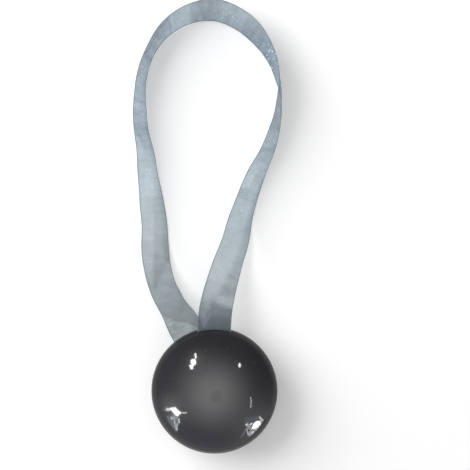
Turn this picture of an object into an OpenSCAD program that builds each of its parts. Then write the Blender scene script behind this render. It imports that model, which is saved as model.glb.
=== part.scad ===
// Magnetic curtain tieback: two domed halves that snap together face to face,
// and one ribbon that loops from the back half round to the front half.
// The tieback lies on a table. +Z is up and is also the axis of the ball, and +Y
// runs from the ball to the top of the loop. The origin is on the table, in the
// middle of the whole object.

/* [Ball] */
// Diameter of the ball at the seam
ball_d = 45; // [38:0.5:54]
// Height of one half, from its flat face to the top of its dome
half_h = 11.5; // [10:0.25:14]
// Radius of the rolled rim beside the seam
rim_r = 6; // [4.5:0.25:7.5]
// Wall of the moulded shell
shell_t = 1.8; // [1.2:0.1:2.4]
// Width of the shell's flat ring round the face plate
rim_land = 1.5; // [1.2:0.1:2]
// Bevel on the outer edge of that ring, which makes the fine groove at the seam
seam_bevel = 0.25; // [0.1:0.05:0.4]
// Gap that the snapped halves leave between their faces
seam_gap = 0.1; // [0.05:0.05:0.3]
// Thickness of the stiffening ribs under the dome
rib_t = 1.2; // [0.8:0.1:2]
// Number of stiffening ribs under the dome
rib_count = 3; // [3:1:6]

/* [Face plate and magnet] */
// Thickness of the face plate
plate_t = 2; // [1.6:0.1:2.6]
// Plastic left between the magnet and the face of the plate
face_skin = 0.8; // [0.5:0.1:1.2]
// Bevel on the edge of the face plate
plate_bevel = 0.3; // [0.1:0.05:0.5]
// Wall of the round cup that holds the magnet
cup_wall = 1.4; // [1:0.1:2]
// Diameter of the magnet
magnet_d = 20; // [16:0.5:22]
// Thickness of the magnet
magnet_t = 3; // [2:0.25:3.5]
// Bevel on the edges of the magnet
magnet_bevel = 0.3; // [0.1:0.05:0.5]
// Thickness of the steel disc behind the magnet
keeper_t = 1.5; // [1:0.25:2]
// Clearance between pieces that sit in each other
fit = 0.1; // [0.05:0.05:0.2]

/* [Ribbon] */
// Distance from the ball's axis to the top of the loop
loop_reach = 136.5; // [120:0.5:155]
// Width of the ribbon
ribbon_w = 12; // [10:0.5:14]
// Thickness of the ribbon with its woven edges
ribbon_t = 0.3; // [0.2:0.05:0.5]
// Play of the ribbon in its slot, each way
slot_play = 0.3; // [0.2:0.05:0.5]
// Gap between the ribbon's glued end and the magnet's cup
tail_gap = 1.4; // [0.5:0.1:2.5]
// Gap between the loop and the rim of the turning halves
ribbon_gap = 0.25; // [0.2:0.05:0.5]
// Direction of the front half's slot, counted from +X
front_slot_a = 90; // [85:1:100]
// Direction of the back half's slot, counted from +X
back_slot_a = 115; // [105:1:125]

/* [Hidden] */

$fn = 96;
// Overlap that carries a cut clean through a face
cut = 1;

ball_r = ball_d / 2;
seat_r = ball_r - rim_land;
cup_r = magnet_d / 2 + fit;
cup_out_r = cup_r + cup_wall;
stack_top = face_skin + magnet_t + keeper_t;
// Middle of the ribbon above the flat face of its half, where it lies on the face plate
tail_z = plate_t + fit / 2 + ribbon_t / 2;
front_z = half_h + seam_gap;
plastic = [0.15, 0.15, 0.16];
plate_plastic = [0.10, 0.10, 0.11];
nickel = [0.72, 0.72, 0.70];
steel = [0.52, 0.53, 0.55];
organza = [0.50, 0.58, 0.63];

// Dome arc that meets the rim arc in a smooth line: its radius and their meeting point
dome_r = (pow(ball_r - rim_r, 2) + pow(half_h, 2) - pow(rim_r, 2)) / (2 * (half_h - rim_r));
meet_x = dome_r * (ball_r - rim_r) / (dome_r - rim_r);

// Ribbon route, seen from above with the ball's axis at 0, 0. Each point gives the
// middle of the ribbon in X and Y, the tilt of its width (0 lies flat, 90 stands on
// edge, 180 lies flat the other way up) and the height of its lower edge, as a share
// of the height of the slot that the arm comes from.
back_arm = [
    [-14.2, 28.8, 36, 0.76],
    [-18.1, 35.7, 42, 0.5],
    [-20.4, 43, 38, 0.26],
    [-21.5, 51, 37, 0.09],
    [-21.8, 59.5, 41, 0.01],
    [-22.9, 68, 47, 0],
    [-24, 76.5, 55, 0],
    [-25, 85, 62, 0],
    [-26.5, 93.5, 69, 0],
    [-27, 102, 73, 0],
    [-26.5, 110.5, 75, 0],
    [-24.5, 119, 76, 0],
    [-20.5, 126.5, 74, 0],
    [-14.5, 132.5, 69, 0],
    [-7, 136, 62, 0]
];
front_arm = [
    [1.5, 136.5, 58, 0],
    [9.5, 133, 59, 0],
    [16, 127, 64, 0],
    [20.5, 119.5, 72, 0],
    [23, 111, 82, 0],
    [23.2, 102.5, 98, 0],
    [21.8, 94, 109, 0],
    [19, 86, 115, 0],
    [15.3, 78, 121.5, 0],
    [12.1, 70, 127, 0],
    [9.6, 62, 134, 0.015],
    [7.5, 53.5, 143, 0.12],
    [4.9, 45.5, 153, 0.32],
    [2.3, 37, 163, 0.59],
    [0.6, 29.5, 170, 0.84]
];
// Height of the ribbon's lower edge where it lies on the table
table_lift = 0.2;
// The ribbon runs straight through the rim: this far inside it and this far outside
exit_inside = 2;
exit_outside = 1.5;
// Tilt and height share that the ribbon has reached at the outer of those two points
exit_tilt = 3;
exit_share = 0.98;

loop_k = loop_reach / max([for (q = concat(back_arm, front_arm)) q[1]]);
back_exit_z = half_h - tail_z;
front_exit_z = front_z + tail_z;
function exit_point(angle, reach, tilt, share) =
    [reach * cos(angle), reach * sin(angle), tilt, share];
function looped(q) = [loop_k * q[0], loop_k * q[1], q[2], q[3]];
function lifted(q, exit_z) = [q[0], q[1], q[2], table_lift + q[3] * (exit_z - table_lift)];
back_route = [
    exit_point(back_slot_a, ball_r - exit_inside, 0, 1),
    exit_point(back_slot_a, ball_r + exit_outside, exit_tilt, exit_share),
    for (q = back_arm) looped(q)
];
front_route = [
    for (q = front_arm) looped(q),
    exit_point(front_slot_a, ball_r + exit_outside, 180 - exit_tilt, exit_share),
    exit_point(front_slot_a, ball_r - exit_inside, 180, 1)
];
route = [
    for (q = back_route) lifted(q, back_exit_z),
    for (q = front_route) lifted(q, front_exit_z)
];
steps = 4;

function unit(v) = v / norm(v);
// Smooth curve through the points of p: the value a share u of the way past point i
function curve(p, i, u) =
    let (
        a = p[max(i - 1, 0)],
        b = p[i],
        c = p[i + 1],
        d = p[min(i + 2, len(p) - 1)]
    )
    (2 * b + (c - a) * u + (2 * a - 5 * b + 4 * c - d) * pow(u, 2)
        + (3 * b - a - 3 * c + d) * pow(u, 3)) / 2;
// Middle of the ribbon at a route point
function middle(q) = [q[0], q[1], q[3] + ribbon_w / 2 * abs(sin(q[2]))];
// The four corners of the ribbon's section at point j of the line
function section(line, mid, j) =
    let (
        t = unit(mid[min(j + 1, len(mid) - 1)] - mid[max(j - 1, 0)]),
        outward = unit([-t[1], t[0], 0]),
        up = cross(t, outward),
        across = cos(line[j][2]) * outward + sin(line[j][2]) * up,
        face = cross(t, across),
        half_w = across * ribbon_w / 2,
        half_t = face * ribbon_t / 2
    )
    [
        mid[j] + half_w + half_t, mid[j] - half_w + half_t,
        mid[j] - half_w - half_t, mid[j] + half_w - half_t
    ];

ribbon_line = [
    for (i = [0 : len(route) - 2]) for (k = [0 : steps - 1]) curve(route, i, k / steps),
    route[len(route) - 1]
];
ribbon_mid = [for (q = ribbon_line) middle(q)];
sections = [for (j = [0 : len(ribbon_line) - 1]) section(ribbon_line, ribbon_mid, j)];
corners = [for (s = sections) for (p = s) p];
reach_x = [for (p = corners) p[0]];
reach_y = [for (p = corners) p[1]];
// The ball's axis in the object's frame, which is centred on the whole object
ball_x = -(min(reach_x) + max(reach_x)) / 2;
ball_y = -(max(reach_y) - ball_r) / 2;

module on_table() translate([ball_x, ball_y, 0]) children();

module front_place() on_table()
    translate([0, 0, front_z])
        rotate(front_slot_a)
            children();

module back_place() on_table()
    translate([0, 0, half_h])
        mirror([0, 0, 1])
            rotate(back_slot_a)
                children();

// Half of the ball's section, moved inwards by inset: dome arc and rim arc over the flat face
module half_section(inset) {
    x = meet_x - inset * (ball_r - rim_r) / (dome_r - rim_r);
    intersection() {
        translate([0, half_h - dome_r]) circle(dome_r - inset);
        square([x, half_h]);
    }
    intersection() {
        translate([ball_r - rim_r, 0]) circle(rim_r - inset);
        translate([x, 0]) square([ball_r, half_h]);
    }
}

// Moulded shell of one half, flat face on Z = 0 and ribbon slot towards +X
module dome() {
    difference() {
        rotate_extrude() difference() {
            half_section(0);
            half_section(shell_t);
            square([seat_r, plate_t]);
            polygon([
                [ball_r - seam_bevel, 0], [ball_r + cut, -cut], [ball_r + cut, cut],
                [ball_r, seam_bevel], [ball_r - seam_bevel, 0]
            ]);
        }
        translate([cup_out_r, -ribbon_w / 2 - slot_play, plate_t])
            cube([ball_r, ribbon_w + 2 * slot_play, ribbon_t + slot_play]);
    }
    intersection() {
        rotate_extrude() half_section(shell_t / 2);
        for (i = [0 : rib_count - 1])
            rotate((i + 0.5) * 360 / rib_count)
                translate([0, -rib_t / 2, stack_top + fit])
                    cube([seat_r, rib_t, half_h]);
    }
}

// Flat plate that closes the half, with the magnet's cup on its inner side
module face_plate() {
    rotate_extrude() difference() {
        union() {
            square([seat_r - fit, plate_t]);
            square([cup_out_r, stack_top]);
        }
        translate([0, face_skin]) square([cup_r, stack_top]);
        polygon([
            [seat_r - fit - plate_bevel, 0], [seat_r - fit + cut, -cut],
            [seat_r - fit + cut, plate_bevel], [seat_r - fit, plate_bevel]
        ]);
    }
}

module bevelled_disc(r, h, bevel) {
    rotate_extrude() polygon([
        [0, 0], [r - bevel, 0], [r, bevel], [r, h - bevel], [r - bevel, h], [0, h]
    ]);
}

module magnet() {
    translate([0, 0, face_skin])
        bevelled_disc(magnet_d / 2, magnet_t, magnet_bevel);
}

module keeper() {
    translate([0, 0, face_skin + magnet_t])
        cylinder(r = magnet_d / 2, h = keeper_t - fit);
}

// End of the ribbon, glued along the inside of the face plate and cut round with the rim
module ribbon_end() {
    intersection() {
        translate([cup_out_r + tail_gap, -ribbon_w / 2, tail_z - ribbon_t / 2])
            cube([ball_r, ribbon_w, ribbon_t]);
        rotate_extrude() half_section(fit / 2);
    }
}

module front_dome() front_place() color(plastic) dome();
module front_face_plate() front_place() color(plate_plastic) face_plate();
module front_magnet() front_place() color(nickel) magnet();
module front_keeper() front_place() color(steel) keeper();
module front_ribbon_end() front_place() color(organza) ribbon_end();

module back_dome() back_place() color(plastic) dome();
module back_face_plate() back_place() color(plate_plastic) face_plate();
module back_magnet() back_place() color(nickel) magnet();
module back_keeper() back_place() color(steel) keeper();
module back_ribbon_end() back_place() color(organza) ribbon_end();

// The free loop: the ribbon's section carried along the route, with both ends cut
// round to follow the rim. The two broad sides are split along the same diagonals,
// so the thin strip keeps its thickness where it twists.
module ribbon_loop() {
    last = 4 * (len(sections) - 1);
    sides = [
        for (j = [0 : len(sections) - 2]) for (k = [0 : 3])
            let (a = 4 * j + k, b = 4 * j + (k + 1) % 4)
                each (k == 2
                    ? [[a, b, a + 4], [b, b + 4, a + 4]]
                    : [[a, b, b + 4], [a, b + 4, a + 4]])
    ];
    ends = [[3, 2, 1], [3, 1, 0], [last, last + 1, last + 2], [last, last + 2, last + 3]];
    on_table() color(organza)
        difference() {
            polyhedron(points = corners, faces = concat(sides, ends));
            cylinder(r = ball_r + ribbon_gap, h = 2 * half_h + seam_gap);
        }
}

front_dome();
front_face_plate();
front_magnet();
front_keeper();
front_ribbon_end();
back_dome();
back_face_plate();
back_magnet();
back_keeper();
back_ribbon_end();
ribbon_loop();
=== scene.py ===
"""Looks of the magnetic curtain tieback: domed halves, magnets and the half-twisted ribbon.

Lengths of the ribbon are in millimetres until its mesh is made, and all others in metres.
"""

import math

import bpy
import numpy as np
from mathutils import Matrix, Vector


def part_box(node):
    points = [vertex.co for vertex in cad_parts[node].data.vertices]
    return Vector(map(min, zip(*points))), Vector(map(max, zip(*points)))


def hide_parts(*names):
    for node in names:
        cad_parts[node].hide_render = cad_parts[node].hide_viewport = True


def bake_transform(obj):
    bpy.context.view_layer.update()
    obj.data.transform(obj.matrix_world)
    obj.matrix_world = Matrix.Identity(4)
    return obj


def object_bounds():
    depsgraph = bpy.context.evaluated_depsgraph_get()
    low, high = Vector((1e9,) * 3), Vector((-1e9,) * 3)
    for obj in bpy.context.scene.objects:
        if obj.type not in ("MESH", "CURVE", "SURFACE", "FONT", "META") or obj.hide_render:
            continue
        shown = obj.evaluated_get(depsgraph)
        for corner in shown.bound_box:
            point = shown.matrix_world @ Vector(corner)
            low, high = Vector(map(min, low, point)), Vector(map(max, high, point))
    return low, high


MM = 0.001

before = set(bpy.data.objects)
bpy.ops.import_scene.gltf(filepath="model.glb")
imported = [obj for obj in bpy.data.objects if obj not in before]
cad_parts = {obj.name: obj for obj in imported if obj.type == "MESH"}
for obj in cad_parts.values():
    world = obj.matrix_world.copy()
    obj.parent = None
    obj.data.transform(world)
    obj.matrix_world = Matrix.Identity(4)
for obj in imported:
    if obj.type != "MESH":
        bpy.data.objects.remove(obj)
cad_low, cad_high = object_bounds()

front_low, front_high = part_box("front_dome")
BALL_R = (front_high[0] - front_low[0]) / 2
BALL_X = (front_high[0] + front_low[0]) / 2
BALL_Y = (front_high[1] + front_low[1]) / 2
BACK_FACE_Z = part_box("back_dome")[1][2]
FRONT_FACE_Z = front_low[2]
BALL_TOP_Z = front_high[2]

scene = bpy.context.scene
scene.view_settings.view_transform = "Standard"


# ---------------------------------------------------------------- camera

# Place of the camera from the ball's axis and from the table, in metres, and its lens.
CAMERA_RIGHT = 0.00735
CAMERA_UP = 0.05554
CAMERA_HEIGHT = 0.547
CAMERA_LENS = 114.894


def look_down(name, x, y, height, lens):
    """A camera at x, y and height that looks straight down, with +Y at the top of its view."""
    data = bpy.data.cameras.new(name)
    data.lens = lens
    data.sensor_width = 36
    data.clip_start = 0.01
    data.clip_end = 50
    camera = bpy.data.objects.new(name, data)
    camera.location = (x, y, height)
    scene.collection.objects.link(camera)
    return camera


scene.camera = look_down(
    "overhead_camera", BALL_X + CAMERA_RIGHT, BALL_Y + CAMERA_UP, CAMERA_HEIGHT, CAMERA_LENS
)


# ---------------------------------------------------------------- mesh helpers

def grid_faces(rings, around):
    """Quads of a closed tube of rings x around points, numbered ring by ring."""
    ring = np.arange(rings - 1)[:, None]
    spot = np.arange(around)[None, :]
    after = (spot + 1) % around
    a = ring * around + spot
    b = ring * around + after
    quads = np.stack([a, b, b + around, a + around], axis=-1)
    return quads.reshape(-1, 4)


def mesh_object(name, points, quads, extra=()):
    """A mesh object from points, an array of quads and a few larger faces."""
    data = bpy.data.meshes.new(name)
    faces = quads.tolist() + [list(f) for f in extra]
    data.from_pydata(points.tolist(), [], faces)
    data.update()
    made = bpy.data.objects.new(name, data)
    scene.collection.objects.link(made)
    return made


def write_uv(piece, across, along):
    """UV map in metres: U is the distance along the ribbon and V the distance across it."""
    data = piece.data
    corner = np.empty(len(data.loops), dtype=np.int32)
    data.loops.foreach_get("vertex_index", corner)
    uv = np.stack([along[corner], across[corner]], axis=-1).astype(np.float32)
    layer = data.uv_layers.new(name="UVMap")
    layer.data.foreach_set("uv", uv.ravel())


def write_value(piece, name, values):
    """One number for each point of the mesh, which a material reads by that name."""
    layer = piece.data.attributes.new(name, "FLOAT", "POINT")
    layer.data.foreach_set("value", np.asarray(values, dtype=np.float32))


def ease(x):
    """Smooth step from 0 to 1: 3 x^2 - 2 x^3 between 0 and 1."""
    x = np.clip(x, 0, 1)
    return x * x * (3 - 2 * x)


# ---------------------------------------------------------------- ribbon route
# Each point: middle of the ribbon in X and Y from the ball's axis, tilt of its width in
# degrees, and the height of its lower edge as a share of the way from the table to its slot.

BACK_ARM = [
    (-14.2, 28.8, 36, 0.76), (-18.1, 35.7, 42, 0.5), (-20.4, 43, 38, 0.26),
    (-21.5, 51, 37, 0.09), (-21.8, 59.5, 41, 0.01), (-22.9, 68, 47, 0),
    (-24, 76.5, 55, 0), (-25, 85, 62, 0), (-26.5, 93.5, 69, 0),
    (-27, 102, 73, 0), (-26.5, 110.5, 75, 0), (-24.5, 119, 76, 0),
    (-20.5, 126.5, 74, 0), (-14.5, 132.5, 69, 0), (-7, 136, 62, 0),
]
FRONT_ARM = [
    (1.5, 136.5, 58, 0), (9.5, 133, 59, 0), (16, 127, 64, 0),
    (20.5, 119.5, 72, 0), (23, 111, 82, 0), (23.2, 102.5, 98, 0),
    (21.8, 94, 109, 0), (19, 86, 115, 0), (15.3, 78, 121.5, 0),
    (12.1, 70, 127, 0), (9.6, 62, 134, 0.015), (7.5, 53.5, 143, 0.12),
    (4.9, 45.5, 153, 0.32), (2.3, 37, 163, 0.59), (0.6, 29.5, 170, 0.84),
]
RIBBON_W = 12.0
# Gap under the ribbon where it lies lowest, distance of a slot's middle from its half's face,
# and distance of a glued end from the ball's axis.
TABLE_LIFT = 0.2
TAIL_Z = 2.2
TAIL_END = 12.9
# Directions of the two slots in degrees, and how far each flat stretch of ribbon goes
# inside and outside the rim.
BACK_SLOT = 115
FRONT_SLOT = 90
FLAT_INSIDE = 2
FLAT_OUTSIDE = 1.5
# Steps of the smooth curve between two route points, and the even step along the ribbon.
CURVE_STEPS = 24
STEP = 0.6


def slot_point(angle, reach, tilt, share):
    """A route point on the line of a slot, at a distance from the ball's axis."""
    turn = math.radians(angle)
    return (reach * math.cos(turn), reach * math.sin(turn), tilt, share)


def route_points():
    """The route from the back half's glued end to the front one's, and where FRONT_ARM starts."""
    rim = BALL_R / MM
    back = [
        slot_point(BACK_SLOT, TAIL_END, 0, 1),
        slot_point(BACK_SLOT, rim - FLAT_INSIDE, 0, 1),
        slot_point(BACK_SLOT, rim + FLAT_OUTSIDE, 3, 0.98),
        *BACK_ARM,
    ]
    front = [
        *FRONT_ARM,
        slot_point(FRONT_SLOT, rim + FLAT_OUTSIDE, 177, 0.98),
        slot_point(FRONT_SLOT, rim - FLAT_INSIDE, 180, 1),
        slot_point(FRONT_SLOT, TAIL_END, 180, 1),
    ]
    back = np.array(back, dtype=float)
    front = np.array(front, dtype=float)
    back_z = BACK_FACE_Z / MM - TAIL_Z
    front_z = FRONT_FACE_Z / MM + TAIL_Z
    back[:, 3] = TABLE_LIFT + back[:, 3] * (back_z - TABLE_LIFT)
    front[:, 3] = TABLE_LIFT + front[:, 3] * (front_z - TABLE_LIFT)
    return np.concatenate([back, front]), len(back)


def smooth_route(points):
    """Catmull-Rom curve through the points, with CURVE_STEPS from each point to the next."""
    padded = np.concatenate([points[:1], points, points[-1:]])
    a, b, c, d = padded[:-3], padded[1:-2], padded[2:-1], padded[3:]
    u = (np.arange(CURVE_STEPS) / CURVE_STEPS)[None, :, None]
    a, b, c, d = a[:, None], b[:, None], c[:, None], d[:, None]
    line = (
        2 * b
        + (c - a) * u
        + (2 * a - 5 * b + 4 * c - d) * u**2
        + (3 * b - a - 3 * c + d) * u**3
    ) / 2
    return np.concatenate([line.reshape(-1, points.shape[1]), points[-1:]])


def even_route():
    """The route at even steps: middle line, tilt in radians, lengths, and length at the crown."""
    points, first_front = route_points()
    line = smooth_route(points)
    tilt = np.radians(line[:, 2])
    height = line[:, 3] + RIBBON_W / 2 * np.abs(np.sin(tilt))
    middle = np.stack([line[:, 0], line[:, 1], height], axis=-1)
    gaps = np.linalg.norm(np.diff(middle, axis=0), axis=1)
    length = np.concatenate([[0], np.cumsum(gaps)])
    count = int(round(length[-1] / STEP)) + 1
    even = np.linspace(0, length[-1], count)
    place = np.stack([np.interp(even, length, middle[:, k]) for k in range(3)], axis=-1)
    return place, np.interp(even, length, tilt), even, length[first_front * CURVE_STEPS]


def ribbon_frames(place, tilt):
    """Unit directions across the ribbon and square to its face at each step of its line.

    Outward is level and square to the line. The width turns from outward towards the
    direction square to both by the tilt, and the face is the line crossed with the width.
    """
    along = np.gradient(place, axis=0)
    along /= np.linalg.norm(along, axis=1, keepdims=True)
    outward = np.stack([-along[:, 1], along[:, 0], np.zeros(len(along))], axis=-1)
    outward /= np.linalg.norm(outward, axis=1, keepdims=True)
    up = np.cross(along, outward)
    across = np.cos(tilt)[:, None] * outward + np.sin(tilt)[:, None] * up
    return across, np.cross(along, across)


# ---------------------------------------------------------------- ribbon cloth

# Thickness of the cloth and of its woven edge, the edge's width, the share of that width
# where the thickness rises, and the points on each side of the profile.
BODY_T = 0.16
EDGE_T = 0.3
EDGE_W = 0.45
EDGE_RISE = 0.4
PROFILE_POINTS = 34
# The cloth stays flat over this length at each end, and its waves fade in over the next.
FLAT_END = 12
FADE_IN = 14
# No point of the cloth lies lower than this over the table.
LOWEST = 0.03
# Slow waves: height, length for a turn of one radian, lean across and phase.
SLOW_WAVES = [(0.16, 9.1, 1.3, 0.0), (0.1, 5.3, -2.1, 1.0)]
# Height, length for one radian and phase of the crown's wave. Height, length for one radian
# and shift of the edge waves, back at one edge and forward at the other.
CROWN_WAVE = (0.22, 31.0, 0.5)
EDGE_WAVE = (0.1, 2.7, 2.4)
# Where the ribbon stands on edge, the reach of that stretch along it, and how far its
# middle bows and its edges lean there.
TWIST_AT = 186
TWIST_REACH = 12
TWIST_BOW = 0.9
TWIST_LEAN = 0.5
# Length along the ribbon, lean across it, height and reach of each crease.
CREASES = [
    (31.0, 5.0, 0.30, 2.5),
    (92.0, -1.0, 0.10, 2.0),
    (136.0, 0.6, 0.14, 2.0),
    (146.0, -0.5, -0.12, 2.0),
    (155.5, 0.4, 0.12, 2.0),
    (200.0, -1.5, 0.10, 2.5),
    (246.0, 2.0, -0.20, 2.5),
]


def woven_profile():
    """Closed section of the cloth: distances across it and out of its middle plane.

    The distance across follows a cosine, so points gather at the edges. The thickness is
    the body's, rises smoothly to the woven edge's over the last stretch, and rounds off.
    """
    turn = np.linspace(0, np.pi, PROFILE_POINTS)
    across = np.cos(turn) * RIBBON_W / 2
    to_edge = RIBBON_W / 2 - np.abs(across)
    bead = ease(1 - (to_edge - EDGE_W * (1 - EDGE_RISE)) / (EDGE_W * EDGE_RISE))
    half = (BODY_T + (EDGE_T - BODY_T) * bead) / 2
    round_off = np.clip(to_edge / (EDGE_T / 2), 0, 1)
    half = half * np.sqrt(round_off * (2 - round_off))
    across = np.concatenate([across, across[-2:0:-1]])
    out = np.concatenate([half, -half[-2:0:-1]])
    return across, out


def ripple(s, v):
    """Small waves of the cloth out of its plane, in mm, at length s and share v across.

    Slow waves lean across the width, a crown lifts the middle by a cosine, and short
    waves run along each edge only. Where the ribbon stands on edge and turns over, its
    middle bows outwards by a parabola across, and its edges lean further over, both by a
    bell curve along.
    """
    total = np.zeros(np.broadcast(s, v).shape)
    for height, reach, lean, phase in SLOW_WAVES:
        total += height * np.sin(s / reach + lean * v + phase)
    height, reach, phase = CROWN_WAVE
    total += height * np.cos(v * np.pi / 2) * np.sin(s / reach + phase)
    height, reach, shift = EDGE_WAVE
    total += height * np.abs(v) ** 3 * np.sin(s / reach + shift * np.sign(v))
    bell = np.exp(-(((s - TWIST_AT) / TWIST_REACH) ** 2))
    return total + bell * (TWIST_LEAN * v - TWIST_BOW * (1 - v**2))


def crease_lines(s, v):
    """Sharp cross creases in mm: each is a ridge that falls away from a leaning line."""
    total = np.zeros(np.broadcast(s, v).shape)
    for at, lean, height, reach in CREASES:
        away = np.abs(s - at - lean * v)
        total += height * np.exp(-away / reach)
    return total


# ---------------------------------------------------------------- cloth: painted light, shade, tint and glints

# Share of lit colour in the deepest painted shade, and its rise to the brightest painted light.
CLOTH_SHADED = 0.05
CLOTH_LIT_SPAN = 0.75
# Length along the ribbon and painted light and shade there, shaded at 0 and lit at 1, and in
# places a little outside those two. Where it is well below 0 the cloth takes the painted deep
# shade.
PAINTED_LIGHT_ALONG = [
    (9, 0.24), (14, 0.22), (20, 0.28), (26, 0.42), (32, 0.54), (38, 0.78), (44, 0.92),
    (50, 1.06), (60, 1.03), (66, 1.10), (70, 1.05), (74, 0.96), (79, 0.90), (83, 0.82),
    (87, 0.66), (91, 0.65), (95, 0.68), (100, 0.65), (106, 0.60), (111, 0.49),
    (117, 0.40), (122, 0.34), (126, 0.42), (131, 0.42), (137, 0.42), (142, 0.37),
    (146, 0.39), (151, 0.41), (157, 0.42), (162, 0.35), (166, 0.26), (171, 0.33),
    (176, 0.28), (182, 0.32), (187, 0.40), (192, 0.40), (198, 0.45), (204, 0.54),
    (210, 0.63), (214, 0.73), (219, 0.83), (226, 0.85), (231, 0.95), (240, 1.02),
    (248, 1.03), (254, 0.99), (258, 0.90), (262, 0.72), (266, 0.48), (270, 0.08),
    (276, -0.3),
]
# Length along the ribbon and share of blue there, a painted tint of the light. The cloth is
# more neutral near the ball.
PAINTED_COOL_ALONG = [
    (20, 0.05), (32, 0.2), (50, 0.25), (60, 0.45), (68, 0.85), (76, 0.8), (86, 0.9),
    (96, 1), (130, 0.9), (150, 0.85), (163, 0.85), (170, 1), (176, 1), (188, 0.6),
    (200, 0.75), (215, 0.9), (232, 0.8), (246, 0.55), (258, 0.3), (266, 0.3),
]
# Painted light and shade on creased facets: gain, softness of the edge in mm, and corners
# as length and share across.
PAINTED_FACETS = [
    (0.28, 0.5, [(4, -1.1), (10.5, -0.6), (20, 1.05), (4, 1.1)]),
    (-0.3, 2.0, [(5, -1.1), (12.5, -1.1), (12, -0.35), (5, -0.1)]),
    (0.14, 1.2, [(12, 0.6), (19, 0.9), (19, 1.1), (12, 1.1)]),
    (-0.06, 3.0, [(21, 0.9), (36, 0.4), (42, -0.1), (30, -0.1)]),
    (-0.24, 2.0, [(28, 0.65), (42, 0.15), (50, 0.05), (58, 0), (63, -0.28), (66, -1.1),
                  (40, -1.1)]),
    (-0.12, 1.5, [(40, -0.55), (90, -0.6), (90, -1.1), (37, -1.1)]),
    (-0.10, 1.5, [(36, -1.1), (39, -0.6), (48, -0.6), (52, -1.1)]),
    (-0.12, 1.2, [(64, -0.35), (72, -0.3), (73, -1.1), (64, -1.1)]),
    (0.07, 1.0, [(62, -0.3), (66, -0.45), (72, -0.2), (71, 0.4), (64, 0.5)]),
    (-0.13, 1.0, [(84.5, 0.6), (85.5, 1.1), (89, 1.1), (88, -1.1), (77, -1.1), (77, -0.2)]),
    (0.12, 1.2, [(76, 0.2), (83, 0.2), (86, 1.1), (76, 1.1)]),
    (0.10, 0.6, [(93.5, -0.9), (95, 1.0), (97, 1.0), (96, -0.9)]),
    (-0.16, 1.5, [(115, 0), (129, 0.6), (129, 1.1), (113, 1.1)]),
    (0.15, 1.5, [(112, -1.1), (116, -0.7), (127, -0.1), (128, -1.1)]),
    (0.34, 0.7, [(126.6, -1.1), (129.6, 1.1), (136.8, 1.1), (135.2, -1.1)]),
    (0.17, 0.7, [(145.6, -1.1), (146.2, 1.1), (157.2, 1.1), (156.2, -1.1)]),
    (0.09, 1.0, [(200.5, -0.1), (206, 0.1), (207, 1.0), (201, 1.0)]),
    (-0.09, 0.5, [(205, -1.0), (206.2, -1.0), (209.5, 1.0), (208.3, 1.0)]),
    (0.10, 1.5, [(207, 0.1), (217, 0), (217, 1.1), (208, 1.1)]),
    (0.18, 1.0, [(216.5, 0.1), (222, 0.2), (224, 1.1), (217.5, 1.1)]),
    (-0.10, 0.6, [(222.5, 0.4), (224.5, 1.1), (226.5, 1.1), (229, -0.1), (227, -0.3)]),
    (0.08, 0.8, [(225, -0.2), (230, -0.3), (229.5, -0.8), (226, -0.8)]),
    (-0.38, 3.0, [(216, -0.85), (226, -0.65), (238, -0.52), (252, -0.33), (263, 0),
                  (262, -1.1), (216, -1.1)]),
    (-0.36, 3.5, [(266, 0.35), (267, -1.1), (278, -1.1), (278, 0.5)]),
]
# Stretches with painted glints of single threads: middle and reach along, in mm, middle and
# reach across, as shares of the half width, and strength.
PAINTED_GLINTS = [
    (174, 6, 0, 2, 1.6),
    (151, 4.5, -0.2, 1.2, 1.0),
    (131, 4, 0, 1.5, 0.3),
    (67, 5, 0.2, 0.8, 0.6),
    (95, 3, 0, 1.5, 0.3),
    (218, 4, 0.2, 1.0, 0.6),
    (228, 5, -0.2, 0.8, 0.4),
    (245, 12, 0.6, 0.5, 0.3),
    (16, 4, 0.5, 0.8, 0.5),
]


def facet(s, v, corners, soft):
    """Share from 0 outside to 1 inside a polygon of corners, eased over a soft edge in mm.

    The distance to the nearest side is signed by counting the sides that a line towards
    greater length crosses.
    """
    half = RIBBON_W / 2
    x, y = np.broadcast_arrays(s, v * half)
    near = np.full(x.shape, np.inf)
    inside = np.zeros(x.shape, dtype=bool)
    for (s_a, v_a), (s_b, v_b) in zip(corners, corners[1:] + corners[:1]):
        y_a, y_b = v_a * half, v_b * half
        run_x, run_y = s_b - s_a, y_b - y_a
        along = ((x - s_a) * run_x + (y - y_a) * run_y) / (run_x**2 + run_y**2)
        along = np.clip(along, 0, 1)
        near = np.minimum(near, np.hypot(x - s_a - along * run_x, y - y_a - along * run_y))
        if y_a != y_b:
            crosses = (y_a > y) != (y_b > y)
            inside ^= crosses & (x < s_a + (y - y_a) * run_x / run_y)
    return ease(np.where(inside, near, -near) / soft + 0.5)


def cloth_painted_light(s, v):
    """Painted shade to painted light: a slow curve along the ribbon and its creased facets."""
    at, painted_light = np.array(PAINTED_LIGHT_ALONG).T
    total = np.interp(s, at, painted_light) + 0 * v
    for gain, soft, corners in PAINTED_FACETS:
        total += gain * facet(s, v, corners, soft)
    return CLOTH_SHADED + CLOTH_LIT_SPAN * total


def cloth_painted_cool(s, v):
    """Share from neutral to bluer cloth along the ribbon: a painted tint of the light."""
    at, cool = np.array(PAINTED_COOL_ALONG).T
    return np.interp(s, at, cool) + 0 * v


def cloth_painted_glint(s, v):
    """Strength of the painted glints of threads: a sum of bell curves along and across."""
    total = np.zeros(np.broadcast(s, v).shape)
    for at, reach_s, mid_v, reach_v, gain in PAINTED_GLINTS:
        total += gain * np.exp(-(((s - at) / reach_s) ** 2) - ((v - mid_v) / reach_v) ** 2)
    return total


# ---------------------------------------------------------------- ribbon arms

PLACE, TILT, LENGTH, crown_length = even_route()
ACROSS, FACE = ribbon_frames(PLACE, TILT)
# Step of the route at the crown.
CROWN = int(np.argmin(np.abs(LENGTH - crown_length)))


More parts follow.
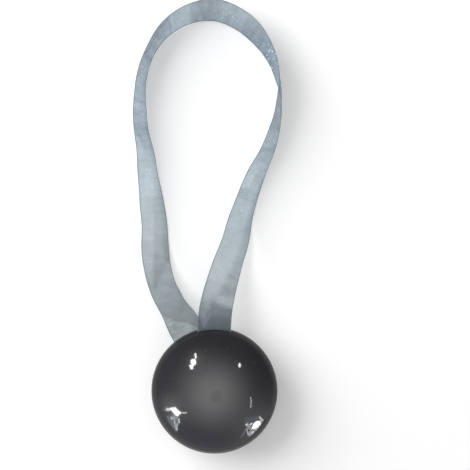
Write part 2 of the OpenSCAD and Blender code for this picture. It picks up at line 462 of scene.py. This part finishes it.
def ribbon_arm(name, first, last):
    """One arm of the ribbon, from step first to step last of the route.

    The woven profile is carried along the line: point = middle + across * width direction
    + (out + ripple + crease) * face direction. Both ends are closed by a flat, sharp face.
    """
    span = slice(first, last + 1)
    across, out = woven_profile()
    s = LENGTH[span][:, None]
    v = (across / (RIBBON_W / 2))[None, :]
    fade = ease((s - FLAT_END) / FADE_IN) * ease((LENGTH[-1] - FLAT_END - s) / FADE_IN)
    lift = fade * (ripple(s, v) + crease_lines(s, v))
    points = (
        PLACE[span][:, None, :]
        + across[None, :, None] * ACROSS[span][:, None, :]
        + (out[None, :] + lift)[:, :, None] * FACE[span][:, None, :]
    )
    rings, around = points.shape[:2]
    points = points.reshape(-1, 3)
    points[:, 2] = np.maximum(points[:, 2], LOWEST)
    points = points * MM + np.array([BALL_X, BALL_Y, 0])
    quads = grid_faces(rings, around)[:, ::-1]
    first_end = list(range(around))
    last_end = list(range(rings * around - 1, (rings - 1) * around - 1, -1))
    made = mesh_object(name, points, quads, [first_end, last_end])
    smooth = np.ones(len(made.data.polygons), dtype=bool)
    smooth[-2:] = False
    made.data.polygons.foreach_set("use_smooth", smooth)
    pairs = np.empty(2 * len(made.data.edges), dtype=np.int32)
    made.data.edges.foreach_get("vertices", pairs)
    ring_of = pairs.reshape(-1, 2) // around
    at_end = (ring_of == 0).all(axis=1) | (ring_of == rings - 1).all(axis=1)
    sharp = made.data.attributes.new("sharp_edge", "BOOLEAN", "EDGE")
    sharp.data.foreach_set("value", at_end)
    write_uv(made, np.tile(across, rings) * MM, np.repeat(LENGTH[span], around) * MM)
    # Painted light and shade, painted tint and painted glints of the cloth, for its material.
    write_value(made, "cloth_painted_light", cloth_painted_light(s, v).ravel())
    write_value(made, "cloth_painted_cool", cloth_painted_cool(s, v).ravel())
    write_value(made, "cloth_painted_glint", cloth_painted_glint(s, v).ravel())
    return made


back_arm = ribbon_arm("ribbon_back_arm", 0, CROWN)
front_arm = ribbon_arm("ribbon_front_arm", CROWN, len(LENGTH) - 1)


# ---------------------------------------------------------------- shader groups

def new_group(name, inputs, outputs):
    """A shader group, its input node and its output node.

    Each input has a name, a kind and a value or None, and each output a name and a kind.
    """
    group = bpy.data.node_groups.new(name, "ShaderNodeTree")
    for label, kind, value in inputs:
        socket = group.interface.new_socket(label, in_out="INPUT", socket_type="NodeSocket" + kind)
        if value is not None:
            socket.default_value = value
    for label, kind in outputs:
        group.interface.new_socket(label, in_out="OUTPUT", socket_type="NodeSocket" + kind)
    return group, group.nodes.new("NodeGroupInput"), group.nodes.new("NodeGroupOutput")


def feed(tree, socket, value):
    """Gives an input its value: another node's output is linked, and a plain value is set."""
    if isinstance(value, bpy.types.NodeSocket):
        tree.links.new(value, socket)
    else:
        socket.default_value = value


def feed_all(tree, node, inputs):
    """Gives a node's inputs their values, by name or number."""
    for label, value in inputs.items():
        feed(tree, node.inputs[label], value)


def new_node(tree, kind, inputs, **settings):
    """A shader node of a kind, with its settings and then its inputs."""
    node = tree.nodes.new("ShaderNode" + kind)
    for name, value in settings.items():
        setattr(node, name, value)
    feed_all(tree, node, inputs)
    return node


def math_node(tree, operation, first, second=None, clamp=False):
    """A Math node whose inputs are sockets or plain numbers; gives its output socket."""
    inputs = {0: first} if second is None else {0: first, 1: second}
    return new_node(tree, "Math", inputs, operation=operation, use_clamp=clamp).outputs[0]


def noise_node(tree, vector, scale, detail=2.0, rough=0.5):
    """A noise texture's value at that scale, in cells for each unit of the vector."""
    inputs = {"Vector": vector, "Scale": scale, "Detail": detail, "Roughness": rough}
    return new_node(tree, "TexNoise", inputs).outputs["Fac"]


def ramp(tree, value, low, high, out_low=0.0, out_high=1.0):
    """A Map Range node from low..high to out_low..out_high, smooth and clamped."""
    inputs = {"Value": value, "From Min": low, "From Max": high}
    inputs.update({"To Min": out_low, "To Max": out_high})
    return new_node(tree, "MapRange", inputs, interpolation_type="SMOOTHSTEP").outputs["Result"]


def tinted(tree, share, low, high):
    """A colour between low and high by a share from 0 to 1."""
    node = new_node(tree, "Mix", {}, data_type="RGBA")
    for label, value in (("A", low), ("B", high)):
        socket = [s for s in node.inputs if s.name == label and s.type == "RGBA"][0]
        feed(tree, socket, (*value, 1) if isinstance(value, tuple) else value)
    factor = [s for s in node.inputs if s.name == "Factor" and s.type == "VALUE"][0]
    tree.links.new(share, factor)
    return [s for s in node.outputs if s.type == "RGBA"][0]


def stretched(tree, vector, scale, turn=(0, 0, 0)):
    """The vector multiplied by a scale along each of its directions, then turned in radians."""
    inputs = {"Vector": vector, "Rotation": turn, "Scale": scale}
    return new_node(tree, "Mapping", inputs).outputs["Vector"]


def axis_of(tree, vector, axis):
    """One of the three numbers of a vector, by its letter."""
    return new_node(tree, "SeparateXYZ", {0: vector}).outputs[axis]


def about_zero(tree, value, gain):
    """A value from 0 to 1 turned into one about zero: (value - 0.5) * gain."""
    return math_node(tree, "MULTIPLY", math_node(tree, "SUBTRACT", value, 0.5), gain)


def voronoi_cells(tree, vector, scale):
    """A Voronoi texture at that scale, in cells for each unit, plain or from a socket."""
    return new_node(tree, "TexVoronoi", {"Vector": vector, "Scale": scale})


def cell_number(tree, cells):
    """A random number for each cell, the first channel of its random colour."""
    return new_node(tree, "SeparateColor", {0: cells.outputs["Color"]}).outputs[0]


def build_handling_marks():
    """Hairline scratches, soft smudges and dust specks, as masks from 0 to 1."""
    group, source, sink = new_group(
        "handling_marks",
        [("Vector", "Vector", None), ("Scale", "Float", 1.0)],
        [("Smudge", "Float"), ("Hairline", "Float"), ("Dust", "Float")],
    )
    inputs = {0: source.outputs["Vector"], "Scale": source.outputs["Scale"]}
    vector = new_node(group, "VectorMath", inputs, operation="SCALE").outputs[0]
    smudge = ramp(group, noise_node(group, vector, 90, 3, 0.6), 0.42, 0.72)
    drawn = stretched(group, vector, (60, 1500, 900), (0.3, 0.2, 0.7))
    hair = ramp(group, noise_node(group, drawn, 1, 1, 0.4), 0.70, 0.76)
    broken = ramp(group, noise_node(group, vector, 260, 1), 0.5, 0.6)
    hair = math_node(group, "MULTIPLY", hair, broken)
    cells = voronoi_cells(group, vector, 420)
    speck = ramp(group, cells.outputs["Distance"], 0.045, 0.09, 1.0, 0.0)
    feed_all(group, sink, {"Smudge": smudge, "Hairline": hair, "Dust": speck})
    return group


def build_pearl_flakes():
    """Tiny flakes under a clear coat: a brightness for each cell and a slow cloud."""
    group, source, sink = new_group(
        "pearl_flakes",
        [("Vector", "Vector", None), ("Size", "Float", 6000.0)],
        [("Flake", "Float"), ("Cloud", "Float")],
    )
    cells = voronoi_cells(group, source.outputs["Vector"], source.outputs["Size"])
    flake = ramp(group, cell_number(group, cells), 0.55, 1.0)
    cloud = noise_node(group, source.outputs["Vector"], 130, 3, 0.55)
    feed_all(group, sink, {"Flake": flake, "Cloud": cloud})
    return group


# Distance from thread to thread in metres, and a full turn in radians.
THREAD_PITCH = 0.00022
FULL_TURN = 6.2832


def build_organza_weave():
    """Fine plain weave from a UV map in metres.

    Threads are cosines of the distance along and across. Height is the higher of warp and
    weft, Gap is where both are low, Slub is a slow unevenness of single threads, and Glint
    picks out a few tiny cells for painted glints.
    """
    group, source, sink = new_group(
        "organza_weave",
        [("UV", "Vector", None), ("Pitch", "Float", THREAD_PITCH)],
        [("Height", "Float"), ("Gap", "Float"), ("Slub", "Float"), ("Glint", "Float")],
    )
    uv = source.outputs["UV"]
    turns = math_node(group, "DIVIDE", FULL_TURN, source.outputs["Pitch"])
    warp = math_node(group, "COSINE", math_node(group, "MULTIPLY", axis_of(group, uv, "Y"), turns))
    weft = math_node(group, "COSINE", math_node(group, "MULTIPLY", axis_of(group, uv, "X"), turns))
    height = math_node(group, "MAXIMUM", warp, weft)
    gap = ramp(group, height, -0.35, 0.35, 1.0, 0.0)
    weft_slub = noise_node(group, stretched(group, uv, (5200, 420, 1)), 1, 2, 0.6)
    warp_slub = noise_node(group, stretched(group, uv, (300, 6400, 1)), 1, 2, 0.6)
    slub = math_node(group, "ADD", weft_slub, warp_slub)
    slub = math_node(group, "MULTIPLY", slub, 0.5)
    cells = voronoi_cells(group, stretched(group, uv, (2000, 750, 1)), 1)
    glint = ramp(group, cell_number(group, cells), 0.88, 0.97)
    feed_all(group, sink, {"Height": height, "Gap": gap, "Slub": slub, "Glint": glint})
    return group


MARKS = build_handling_marks()
FLAKES = build_pearl_flakes()
WEAVE = build_organza_weave()


def place_group(tree, group, **inputs):
    """The outputs of a group placed in a material, with a value or a link for each input."""
    return new_node(tree, "Group", inputs, node_tree=group).outputs


def read_value(tree, name):
    """The value that the mesh holds under that name."""
    return new_node(tree, "Attribute", {}, attribute_name=name).outputs["Fac"]


def object_place(tree):
    """The place on the object, in metres in the shared frame."""
    return new_node(tree, "TexCoord", {}).outputs["Object"]


def empty_material(name):
    """A material and its tree with no nodes."""
    material = bpy.data.materials.new(name)
    material.use_nodes = True
    material.node_tree.nodes.clear()
    return material, material.node_tree


def show(tree, shader):
    """Joins a shader to a new material output."""
    new_node(tree, "OutputMaterial", {"Surface": shader.outputs[0]})


def new_material(name):
    """A material, its tree and its Principled shader, joined to the output."""
    material, tree = empty_material(name)
    shader = new_node(tree, "BsdfPrincipled", {})
    show(tree, shader)
    return material, tree, shader


def bump(tree, shader, height, distance, strength):
    """Bump on the shader's normal from a height, where 1 is that distance in metres."""
    inputs = {"Height": height, "Distance": distance, "Strength": strength}
    feed(tree, shader.inputs["Normal"], new_node(tree, "Bump", inputs).outputs[0])


# ---------------------------------------------------------------- materials

def dome_finish():
    """Dark charcoal moulding with fine pearl flakes under a clear, faintly rippled coat."""
    material, tree, shader = new_material("charcoal_pearl_gloss")
    place = object_place(tree)
    flakes = place_group(tree, FLAKES, Size=5200.0, Vector=place)
    marks = place_group(tree, MARKS, Scale=1.0, Vector=place)
    base = tinted(tree, flakes["Cloud"], (0.009, 0.009, 0.0105), (0.014, 0.014, 0.0155))
    glint = math_node(tree, "MULTIPLY", flakes["Flake"], 0.35)
    base = tinted(tree, glint, base, (0.03, 0.03, 0.033))
    dusty = math_node(tree, "MULTIPLY", marks["Dust"], 0.25)
    base = tinted(tree, dusty, base, (0.22, 0.22, 0.22))
    rough = ramp(tree, flakes["Cloud"], 0.2, 0.8, 0.30, 0.42)
    feed_all(tree, shader, {
        "Base Color": base,
        "Roughness": rough,
        "IOR": 1.45,
        "Specular IOR Level": 0.0,
        "Coat Weight": 1.0,
        "Coat Roughness": 0.07,
        "Coat IOR": 1.5,
    })
    peel = noise_node(tree, place, 700, 1, 0.4)
    scratch = math_node(tree, "MULTIPLY", marks["Hairline"], -0.6)
    height = math_node(tree, "ADD", peel, scratch)
    bump(tree, shader, height, 0.0000012, 1.0)
    return material


def plate_finish():
    """Satin black moulding with a fine spark-eroded grain and rubbed patches."""
    material, tree, shader = new_material("satin_black_moulding")
    place = object_place(tree)
    marks = place_group(tree, MARKS, Scale=1.3, Vector=place)
    grain = noise_node(tree, place, 3600, 3, 0.6)
    base = tinted(tree, grain, (0.022, 0.022, 0.024), (0.036, 0.036, 0.039))
    scuff = math_node(tree, "MULTIPLY", marks["Hairline"], 0.5)
    base = tinted(tree, scuff, base, (0.12, 0.12, 0.125))
    rough = ramp(tree, marks["Smudge"], 0.0, 1.0, 0.52, 0.47)
    feed_all(tree, shader, {"Base Color": base, "Roughness": rough, "IOR": 1.45})
    bump(tree, shader, grain, 0.00001, 0.8)
    return material


def nickel_finish():
    """Bright nickel plate over a sintered magnet, with soft pits and hairlines."""
    material, tree, shader = new_material("nickel_plate")
    place = object_place(tree)
    marks = place_group(tree, MARKS, Scale=1.6, Vector=place)
    cloud = noise_node(tree, place, 260, 3, 0.55)
    base = tinted(tree, cloud, (0.66, 0.64, 0.59), (0.76, 0.745, 0.71))
    rough = ramp(tree, marks["Smudge"], 0.0, 1.0, 0.14, 0.28)
    feed_all(tree, shader, {"Base Color": base, "Roughness": rough, "Metallic": 1.0})
    pits = noise_node(tree, place, 1500, 2, 0.5)
    height = math_node(tree, "SUBTRACT", pits, marks["Hairline"])
    bump(tree, shader, height, 0.000006, 0.7)
    return material


def keeper_finish():
    """Zinc plated steel disc, brushed one way, with a faint bluish cast."""
    material, tree, shader = new_material("zinc_plated_steel")
    place = object_place(tree)
    marks = place_group(tree, MARKS, Scale=1.2, Vector=place)
    brushed = noise_node(tree, stretched(tree, place, (120, 5200, 5200)), 1, 3, 0.6)
    base = tinted(tree, brushed, (0.44, 0.455, 0.47), (0.60, 0.61, 0.62))
    rough = ramp(tree, marks["Smudge"], 0.0, 1.0, 0.3, 0.42)
    feed_all(tree, shader, {"Base Color": base, "Roughness": rough, "Metallic": 1.0})
    bump(tree, shader, brushed, 0.000008, 0.8)
    return material


# Colours of the cloth in painted shade and painted light, each neutral and cool, and the
# colours of its painted deep shade, its painted glints and its woven edges.
SHADED_NEUTRAL = (0.085, 0.125, 0.142)
SHADED_COOL = (0.065, 0.115, 0.165)
LIT_NEUTRAL = (0.79, 0.89, 0.91)
LIT_COOL = (0.68, 0.86, 1.0)
PAINTED_DEEP_SHADE = (0.045, 0.064, 0.073)
PAINTED_GLINT_WHITE = (0.93, 0.96, 1.0)
EDGE_THREAD = (0.16, 0.2, 0.225)
# Where the painted shade turns to the painted deep shade near the ball, from none to all of it.
PAINTED_SHADE_START = -0.1
PAINTED_SHADE_FULL = -0.38
# The woven edge's colour is full this far from the ribbon's edge, in mm.
EDGE_FULL = 0.25


def organza_finish():
    """Sheer blue-grey organza: fine threads, gaps that show through, shiny slubs, firm edges.

    The base colour goes from painted shade to painted light by a share: the cloth's painted
    light and shade plus slow patches, streaks and slubs, each about zero. The painted deep
    shade has less gap and more cover.
    """
    material, tree, shader = new_material("blue_grey_organza")
    uv = new_node(tree, "UVMap", {}, uv_map="UVMap").outputs[0]
    weave = place_group(tree, WEAVE, Pitch=THREAD_PITCH, UV=uv)
    from_middle = math_node(tree, "ABSOLUTE", axis_of(tree, uv, "Y"))
    half = RIBBON_W / 2
    edge = ramp(tree, from_middle, (half - EDGE_W) * MM, (half - EDGE_FULL) * MM)
    # The cloth's painted light and shade, painted tint and painted glints, read from the mesh.
    painted_light = read_value(tree, "cloth_painted_light")
    cool = read_value(tree, "cloth_painted_cool")
    glint = math_node(tree, "MULTIPLY", weave["Glint"], read_value(tree, "cloth_painted_glint"))
    patch = noise_node(tree, stretched(tree, uv, (260, 200, 1)), 1, 2, 0.5)
    streak = noise_node(tree, stretched(tree, uv, (480, 75, 1)), 1, 3, 0.6)
    streak_gain = math_node(tree, "ADD", math_node(tree, "MULTIPLY", cool, 0.45), 0.15)
    slub = weave["Slub"]
    share = math_node(tree, "ADD", painted_light, about_zero(tree, patch, 0.3))
    share = math_node(tree, "ADD", share, about_zero(tree, streak, streak_gain))
    share = math_node(tree, "ADD", share, about_zero(tree, slub, 0.5), clamp=True)
    # Painted shade and painted light: shaded and lit copies of the cloth's colour.
    dark = tinted(tree, cool, SHADED_NEUTRAL, SHADED_COOL)
    light = tinted(tree, cool, LIT_NEUTRAL, LIT_COOL)
    base = tinted(tree, share, dark, light)
    # Painted deep shade near the ball, where the cloth also gets more cover and fewer gaps.
    painted_shade = ramp(tree, painted_light, PAINTED_SHADE_START, PAINTED_SHADE_FULL)
    base = tinted(tree, painted_shade, base, PAINTED_DEEP_SHADE)
    # Painted glints of single threads, then the woven edges' own darker colour.
    base = tinted(tree, math_node(tree, "MULTIPLY", glint, 0.8), base, PAINTED_GLINT_WHITE)
    base = tinted(tree, math_node(tree, "MULTIPLY", edge, 0.8), base, EDGE_THREAD)
    rough = ramp(tree, slub, 0.3, 0.7, 0.42, 0.6)
    gap_share = ramp(tree, painted_shade, 0.0, 1.0, 0.35, 0.1)
    gaps = math_node(tree, "MULTIPLY", weave["Gap"], gap_share)
    cover = math_node(tree, "SUBTRACT", ramp(tree, painted_shade, 0.0, 1.0, 0.76, 0.96), gaps)
    cover = math_node(tree, "MAXIMUM", cover, math_node(tree, "MULTIPLY", edge, 0.9))
    feed_all(tree, shader, {
        "Base Color": base,
        "Roughness": rough,
        "Alpha": cover,
        "Subsurface Weight": 0.6,
        "Subsurface Radius": (1.0, 1.0, 1.0),
        "Subsurface Scale": 0.001,
        "Sheen Weight": 0.25,
        "Sheen Roughness": 0.35,
        "Sheen Tint": (0.85, 0.93, 1.0, 1),
    })
    bump(tree, shader, weave["Height"], 0.00003, 0.5)
    return material


DOME = dome_finish()
PLATE = plate_finish()
NICKEL = nickel_finish()
ZINC = keeper_finish()
ORGANZA = organza_finish()

# Finish of each node, the same in the front and the back half.
HALF_FINISHES = {
    "dome": DOME,
    "face_plate": PLATE,
    "magnet": NICKEL,
    "keeper": ZINC,
    "ribbon_end": ORGANZA,
}
finishes = {"ribbon_loop": ORGANZA}
for half in ("front", "back"):
    for piece, finish in HALF_FINISHES.items():
        finishes[half + "_" + piece] = finish
for node_name, finish in finishes.items():
    for material_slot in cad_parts[node_name].material_slots:
        material_slot.material = finish

for arm in (back_arm, front_arm):
    arm.data.materials.append(ORGANZA)

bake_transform(back_arm)
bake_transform(front_arm)
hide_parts("ribbon_loop", "back_ribbon_end")
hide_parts("front_ribbon_end")


# ---------------------------------------------------------------- light shaders

WHITE = (1, 1, 1)


def light_node(tree, kind, strength, colour=WHITE):
    """An Emission or Background node, its strength plain or from a socket."""
    return new_node(tree, kind, {"Color": (*colour, 1), "Strength": strength})


def added(tree, first, second):
    """Two shaders added."""
    return new_node(tree, "AddShader", {0: first.outputs[0], 1: second.outputs[0]})


def mixed(tree, share, first, second):
    """The first shader where the share is 0 and the second where it is 1."""
    return new_node(tree, "MixShader", {0: share, 1: first.outputs[0], 2: second.outputs[0]})


def seen_directly(tree, path):
    """1 for a ray from the camera or through something clear, from a Light Path node."""
    camera_ray = path.outputs["Is Camera Ray"]
    return math_node(tree, "MAXIMUM", camera_ray, path.outputs["Is Transmission Ray"])


# ---------------------------------------------------------------- floor

# Colours of the floor for matt surfaces, seen directly, and as painted shade in gloss beside
# the part.
FLOOR_MATT = (0.8, 0.8, 0.8)
FLOOR_SEEN = (0.96, 0.96, 0.96)
FLOOR_PAINTED_SHADE = (0.58, 0.58, 0.6)
# Half the floor's side, its Y where the reflected floor turns from painted shade to painted
# light in front, and its distances from the middle where shadows fade to plain white, in metres.
FLOOR_HALF = 4.0
GREY_UNTIL = -0.045
WHITE_FROM = -0.105
SHADOWS_UNTIL = 0.28
PLAIN_FROM = 0.5
# Own light of the floor where it is seen directly.
FLOOR_LIFT = 0.18


def white_floor():
    """A wide white floor with three looks.

    Seen directly, it keeps the shadows near the ball and is plain white further away. In
    gloss it has painted shade, grey round the part, and painted light, white in front of it.
    For matt surfaces it is light grey.
    """
    side = FLOOR_HALF
    corners = np.array([[-side, -side, 0], [side, -side, 0], [side, side, 0], [-side, side, 0]])
    floor = mesh_object("white_floor", corners, np.array([[0, 1, 2, 3]]))
    material, tree = empty_material("white_sweep")
    path = new_node(tree, "LightPath", {})
    seen = seen_directly(tree, path)
    place = object_place(tree)
    # Painted shade on the reflected floor round the part, and painted light on it in front.
    front = ramp(tree, axis_of(tree, place, "Y"), GREY_UNTIL, WHITE_FROM)
    shine = tinted(tree, front, FLOOR_PAINTED_SHADE, WHITE)
    colour = tinted(tree, path.outputs["Is Glossy Ray"], FLOOR_MATT, shine)
    colour = tinted(tree, seen, colour, FLOOR_SEEN)
    matt = new_node(tree, "BsdfDiffuse", {"Color": colour})
    lift = light_node(tree, "Emission", math_node(tree, "MULTIPLY", seen, FLOOR_LIFT))
    distance = new_node(tree, "VectorMath", {0: place}, operation="LENGTH").outputs["Value"]
    far = ramp(tree, distance, SHADOWS_UNTIL, PLAIN_FROM)
    plain = light_node(tree, "Emission", 1.0)
    far = math_node(tree, "MULTIPLY", seen, far)
    show(tree, mixed(tree, far, added(tree, matt, lift), plain))
    floor.data.materials.append(material)


white_floor()


# ---------------------------------------------------------------- lamps

def direction(azimuth, zenith):
    """The unit vector at that azimuth from +X and that angle from straight up, in degrees."""
    turn, tilt = np.radians(azimuth), np.radians(zenith)
    level = np.sin(tilt)
    return np.stack([level * np.cos(turn), level * np.sin(turn), np.cos(tilt)])


def towards(azimuth, zenith, distance):
    """The point in that direction, at that distance from the top of the ball."""
    x, y, z = distance * direction(azimuth, zenith)
    return BALL_X + x, BALL_Y + y, BALL_TOP_Z + z


def soft_lamp(name, azimuth, zenith, distance, side, power):
    """A square white lamp aimed at the part's middle. Gloss shows the panels instead of it."""
    data = bpy.data.lights.new(name, "AREA")
    data.shape = "SQUARE"
    data.size = side
    data.energy = power
    lamp = bpy.data.objects.new(name, data)
    lamp.location = towards(azimuth, zenith, distance)
    scene.collection.objects.link(lamp)
    away = lamp.location - (cad_low + cad_high) / 2
    lamp.rotation_mode = "QUATERNION"
    lamp.rotation_quaternion = away.to_track_quat("Z", "Y")
    lamp.visible_camera = False
    lamp.visible_glossy = False


soft_lamp("left_key", azimuth=148, zenith=58, distance=1.2, side=1.1, power=16.0)


def glow_material(name, strength, colour):
    """Light of one strength, for a panel that only gloss sees."""
    material, tree = empty_material(name)
    show(tree, light_node(tree, "Emission", strength, colour))
    return material


def glow_panels(name, outlines, strength, reach, colour=WHITE):
    """Flat panels at a reach in metres from the ball's top, outlined by azimuth and zenith."""
    points = []
    faces = []
    for outline in outlines:
        turn, down = np.array(outline, dtype=float).T
        ring = np.stack(towards(turn, down, reach), axis=-1)
        faces.append([len(points) + k for k in range(len(ring))])
        points.extend(ring.tolist())
    panels = mesh_object(name, np.array(points), np.zeros((0, 4), dtype=int), faces)
    panels.data.materials.append(glow_material(name, strength, colour))
    panels.visible_camera = False
    panels.visible_diffuse = False
    panels.visible_shadow = False
    panels.visible_transmission = False


OVAL_POINTS = 20


def oval(azimuth, zenith, wide, high):
    """Outline of an oval face: its middle direction and its half sizes in degrees.

    Each point is the middle direction plus a step across and a step down, and the two steps
    are the tangents of the half sizes times the cosine and sine of a turn.
    """
    middle = direction(azimuth, zenith)
    across = direction(azimuth + 90, 90)
    down = direction(azimuth, zenith + 90)
    turn = np.linspace(0, 2 * np.pi, OVAL_POINTS, endpoint=False)[:, None]
    x = math.tan(math.radians(wide)) * np.cos(turn)
    y = math.tan(math.radians(high)) * np.sin(turn)
    ways = middle + x * across + y * down
    level = np.hypot(ways[:, 0], ways[:, 1])
    azimuths = np.degrees(np.arctan2(ways[:, 1], ways[:, 0]))
    zeniths = np.degrees(np.arctan2(level, ways[:, 2]))
    return np.stack([azimuths, zeniths], axis=-1)


def rod(azimuth_a, zenith_a, azimuth_b, zenith_b, wide):
    """Outline of a thin straight strip between two directions, its width in degrees."""
    start = np.array([azimuth_a, zenith_a], dtype=float)
    end = np.array([azimuth_b, zenith_b], dtype=float)
    squash = np.array([math.sin(math.radians((zenith_a + zenith_b) / 2)), 1])
    run = (end - start) * squash
    run /= np.linalg.norm(run)
    side = np.array([-run[1], run[0]]) * wide / 2 / squash
    return [start - side, end - side, end + side, start + side]


# Each group of panels: its name, outlines, strength, reach, and a colour unless it is white.
glow_panels(
    "bright_lamp_faces",
    [
        [(120.5, 53), (119, 51.5), (121, 46), (123.5, 46.5)],
        [(129.5, 48.5), (124, 46), (125.5, 41.5), (131, 39.5), (134.5, 42.5), (133, 46.5)],
        [(138, 45), (133, 41), (138.5, 37.5), (141, 40)],
        [(45.6, 46.4), (43.8, 46.4), (41.5, 45.3), (40, 43.6), (40.1, 42.2), (42, 42.2),
         (44.2, 43.3)],
        [(-155, 65), (-153.5, 56.5), (-149.5, 55.6), (-143.2, 53.2), (-143, 57), (-144.7, 62)],
        [(-144.7, 62.2), (-141.8, 60.5), (-143, 57.5), (-147, 60.5)],
        [(-49.5, 74), (-46.7, 71.4), (-43.3, 70), (-40, 71), (-38, 75), (-40, 77.2), (-46.8, 76.3)],
    ],
    34.0,
    0.78,
)
glow_panels(
    "dim_lamp_parts",
    [
        rod(-143, 53.3, -138.5, 47.2, 0.9),
        rod(-138.9, 61.3, -134.6, 65.4, 1.1),
        oval(-143.2, 70.2, 0.6, 0.5),
        oval(-142, 67.2, 0.6, 0.6),
        oval(-45.6, 67.5, 1.4, 1.2),
        rod(-45.7, 76.2, -43.2, 78.4, 0.8),
        rod(-47.2, 76.9, -46.6, 79.6, 0.8),
        rod(-50.8, 77.2, -52.9, 79.2, 0.8),
        rod(-34, 70.4, -35.4, 75, 0.9),
    ],
    22.0,
    0.79,
    (0.95, 0.97, 1.0),
)
glow_panels(
    "umbrella_ribs",
    [
        rod(-14, 48.0, -21.5, 50.2, 0.8),
        rod(-21.5, 50.2, -29.2, 53.0, 0.8),
        [(-154, 72), (-156, 68.5), (-155, 65), (-152, 65.5)],
        rod(-139.9, 68.8, -134.8, 73, 0.9),
        rod(-134.8, 73, -131, 76, 0.7),
        rod(-135.8, 67.6, -130.7, 76, 0.7),
        rod(-145.4, 70, -142.5, 69, 0.7),
        rod(-140.5, 66.5, -139, 69.5, 0.7),
        rod(-35.4, 75, -36, 78, 0.9),
        oval(-49.6, 63.2, 1.6, 1.2),
        rod(-52.8, 68, -55.5, 77, 0.8),
        rod(-49.3, 77, -50.8, 79.5, 0.6),
    ],
    17.0,
    0.81,
    (0.95, 0.98, 1.0),
)
glow_panels(
    "umbrella_panels",
    [
        rod(-54, 68, -58.5, 71.5, 0.7),
        rod(-58.5, 71.5, -63.4, 75, 0.6),
        [(-39.2, 75.2), (-36, 77.8), (-35.4, 75), (-37.5, 73.6)],
        [(-50.4, 62.5), (-47.5, 63.6), (-47.4, 69.9), (-51.4, 74.3), (-51.5, 67.6)],
        [(-52, 74), (-49.2, 76.5), (-51.7, 82), (-56.8, 85), (-55.7, 77.5)],
        [(-40, 76), (-37.5, 76.5), (-39, 79.5), (-42, 80)],
        [(-146.5, 65), (-142, 61), (-139.5, 63), (-142.5, 66.5), (-144.5, 71)],
    ],
    7.0,
    0.83,
    (0.9, 0.95, 1.0),
)
glow_panels(
    "umbrella_canopies",
    [
        [(-149, 75), (-146, 66), (-141.3, 60.2), (-138.3, 60.4), (-134.7, 65.8),
         (-129.7, 78), (-142, 76.5)],
        [(-155.5, 76), (-158, 70), (-156, 64), (-153, 64.5), (-152, 70)],
        [(-51.5, 72.8), (-49.2, 76.3), (-43.4, 78.4), (-38, 77), (-44, 83), (-51, 85), (-57, 86)],
    ],
    3.4,
    0.86,
    (0.86, 0.93, 1.0),
)
glow_panels(
    "umbrella_far_side",
    [
        [(-46, 53), (-39, 60.4), (-33.7, 68.2), (-36.2, 73.3), (-42.2, 68), (-44.6, 63.1),
         (-50.1, 62.1)],
    ],
    2.3,
    0.86,
    (0.8, 0.9, 1.0),
)
glow_panels("overhead_camera_rim", [oval(-74, 10, 9.5, 9.5)], 3.0, 0.72)
glow_panels("overhead_camera_shape", [oval(-74, 10, 7, 7)], 2.75, 0.7)


# ---------------------------------------------------------------- surroundings

# Soft lobes in gloss: azimuth and zenith in degrees, power and strength. The first is the
# wide glow overhead, and the others are the haze about three reflected lamps.
LOBES = [
    (-116, 6.3, 4.6, 2.95),
    (-42, 67, 10.0, 0.8),
    (-155, 61, 35.0, 1.4),
    (124, 45, 60.0, 0.7),
]
# Light near the horizon in front: its fall with height, and its strength for each unit of Y.
HORIZON_POWER = 4.0
HORIZON_FRONT = -0.8
# Low light in gloss: its level straight up, and its rise for each unit of direction.
LOW_LEVEL = 0.57
LOW_SLOPE = (-0.1, -0.21, 0.0)
# Colours of the two lights in gloss, and the strength of the light on matt surfaces.
WARM_COLOUR = (1.0, 0.985, 0.97)
COOL_COLOUR = (0.84, 0.84, 1.0)
EVEN_LEVEL = 0.45


def dot_with(tree, ray, vector):
    """The dot product of a ray's direction and a fixed vector."""
    node = new_node(tree, "VectorMath", {0: ray, 1: vector}, operation="DOT_PRODUCT")
    return node.outputs["Value"]


def soft_lobe(tree, ray, azimuth, zenith, power, strength):
    """Light about one direction: strength times the cosine of the angle to a power."""
    facing = dot_with(tree, ray, direction(azimuth, zenith).tolist())
    facing = math_node(tree, "MAXIMUM", facing, 0.0)
    lobe = math_node(tree, "POWER", facing, power)
    return math_node(tree, "MULTIPLY", lobe, strength)


def studio_world():
    """White seen directly, an even soft light on matt surfaces, and more in gloss.

    Gloss sees two lights added. The warm one is the sum of the lobes and a light near the
    horizon in front, which is (1 - z) to a power times y and its strength, and nothing
    behind. The cool one is a low light that rises steadily towards the left and the front.
    """
    world = bpy.data.worlds.new("studio_world")
    world.use_nodes = True
    tree = world.node_tree
    tree.nodes.clear()
    ray = new_node(tree, "TexCoord", {}).outputs["Generated"]
    glow = soft_lobe(tree, ray, *LOBES[0])
    for lobe in LOBES[1:]:
        glow = math_node(tree, "ADD", glow, soft_lobe(tree, ray, *lobe))
    level = math_node(tree, "SUBTRACT", 1.0, axis_of(tree, ray, "Z"))
    level = math_node(tree, "POWER", level, HORIZON_POWER)
    ahead = math_node(tree, "MULTIPLY", axis_of(tree, ray, "Y"), HORIZON_FRONT, clamp=True)
    glow = math_node(tree, "ADD", glow, math_node(tree, "MULTIPLY", level, ahead))
    low_light = math_node(tree, "ADD", dot_with(tree, ray, LOW_SLOPE), LOW_LEVEL)
    warm = light_node(tree, "Background", glow, WARM_COLOUR)
    cool = light_node(tree, "Background", low_light, COOL_COLOUR)
    even = light_node(tree, "Background", EVEN_LEVEL)
    white = light_node(tree, "Background", 1.0)
    path = new_node(tree, "LightPath", {})
    light = mixed(tree, path.outputs["Is Glossy Ray"], even, added(tree, warm, cool))
    light = mixed(tree, seen_directly(tree, path), light, white)
    new_node(tree, "OutputWorld", {"Surface": light.outputs[0]})
    scene.world = world


studio_world()
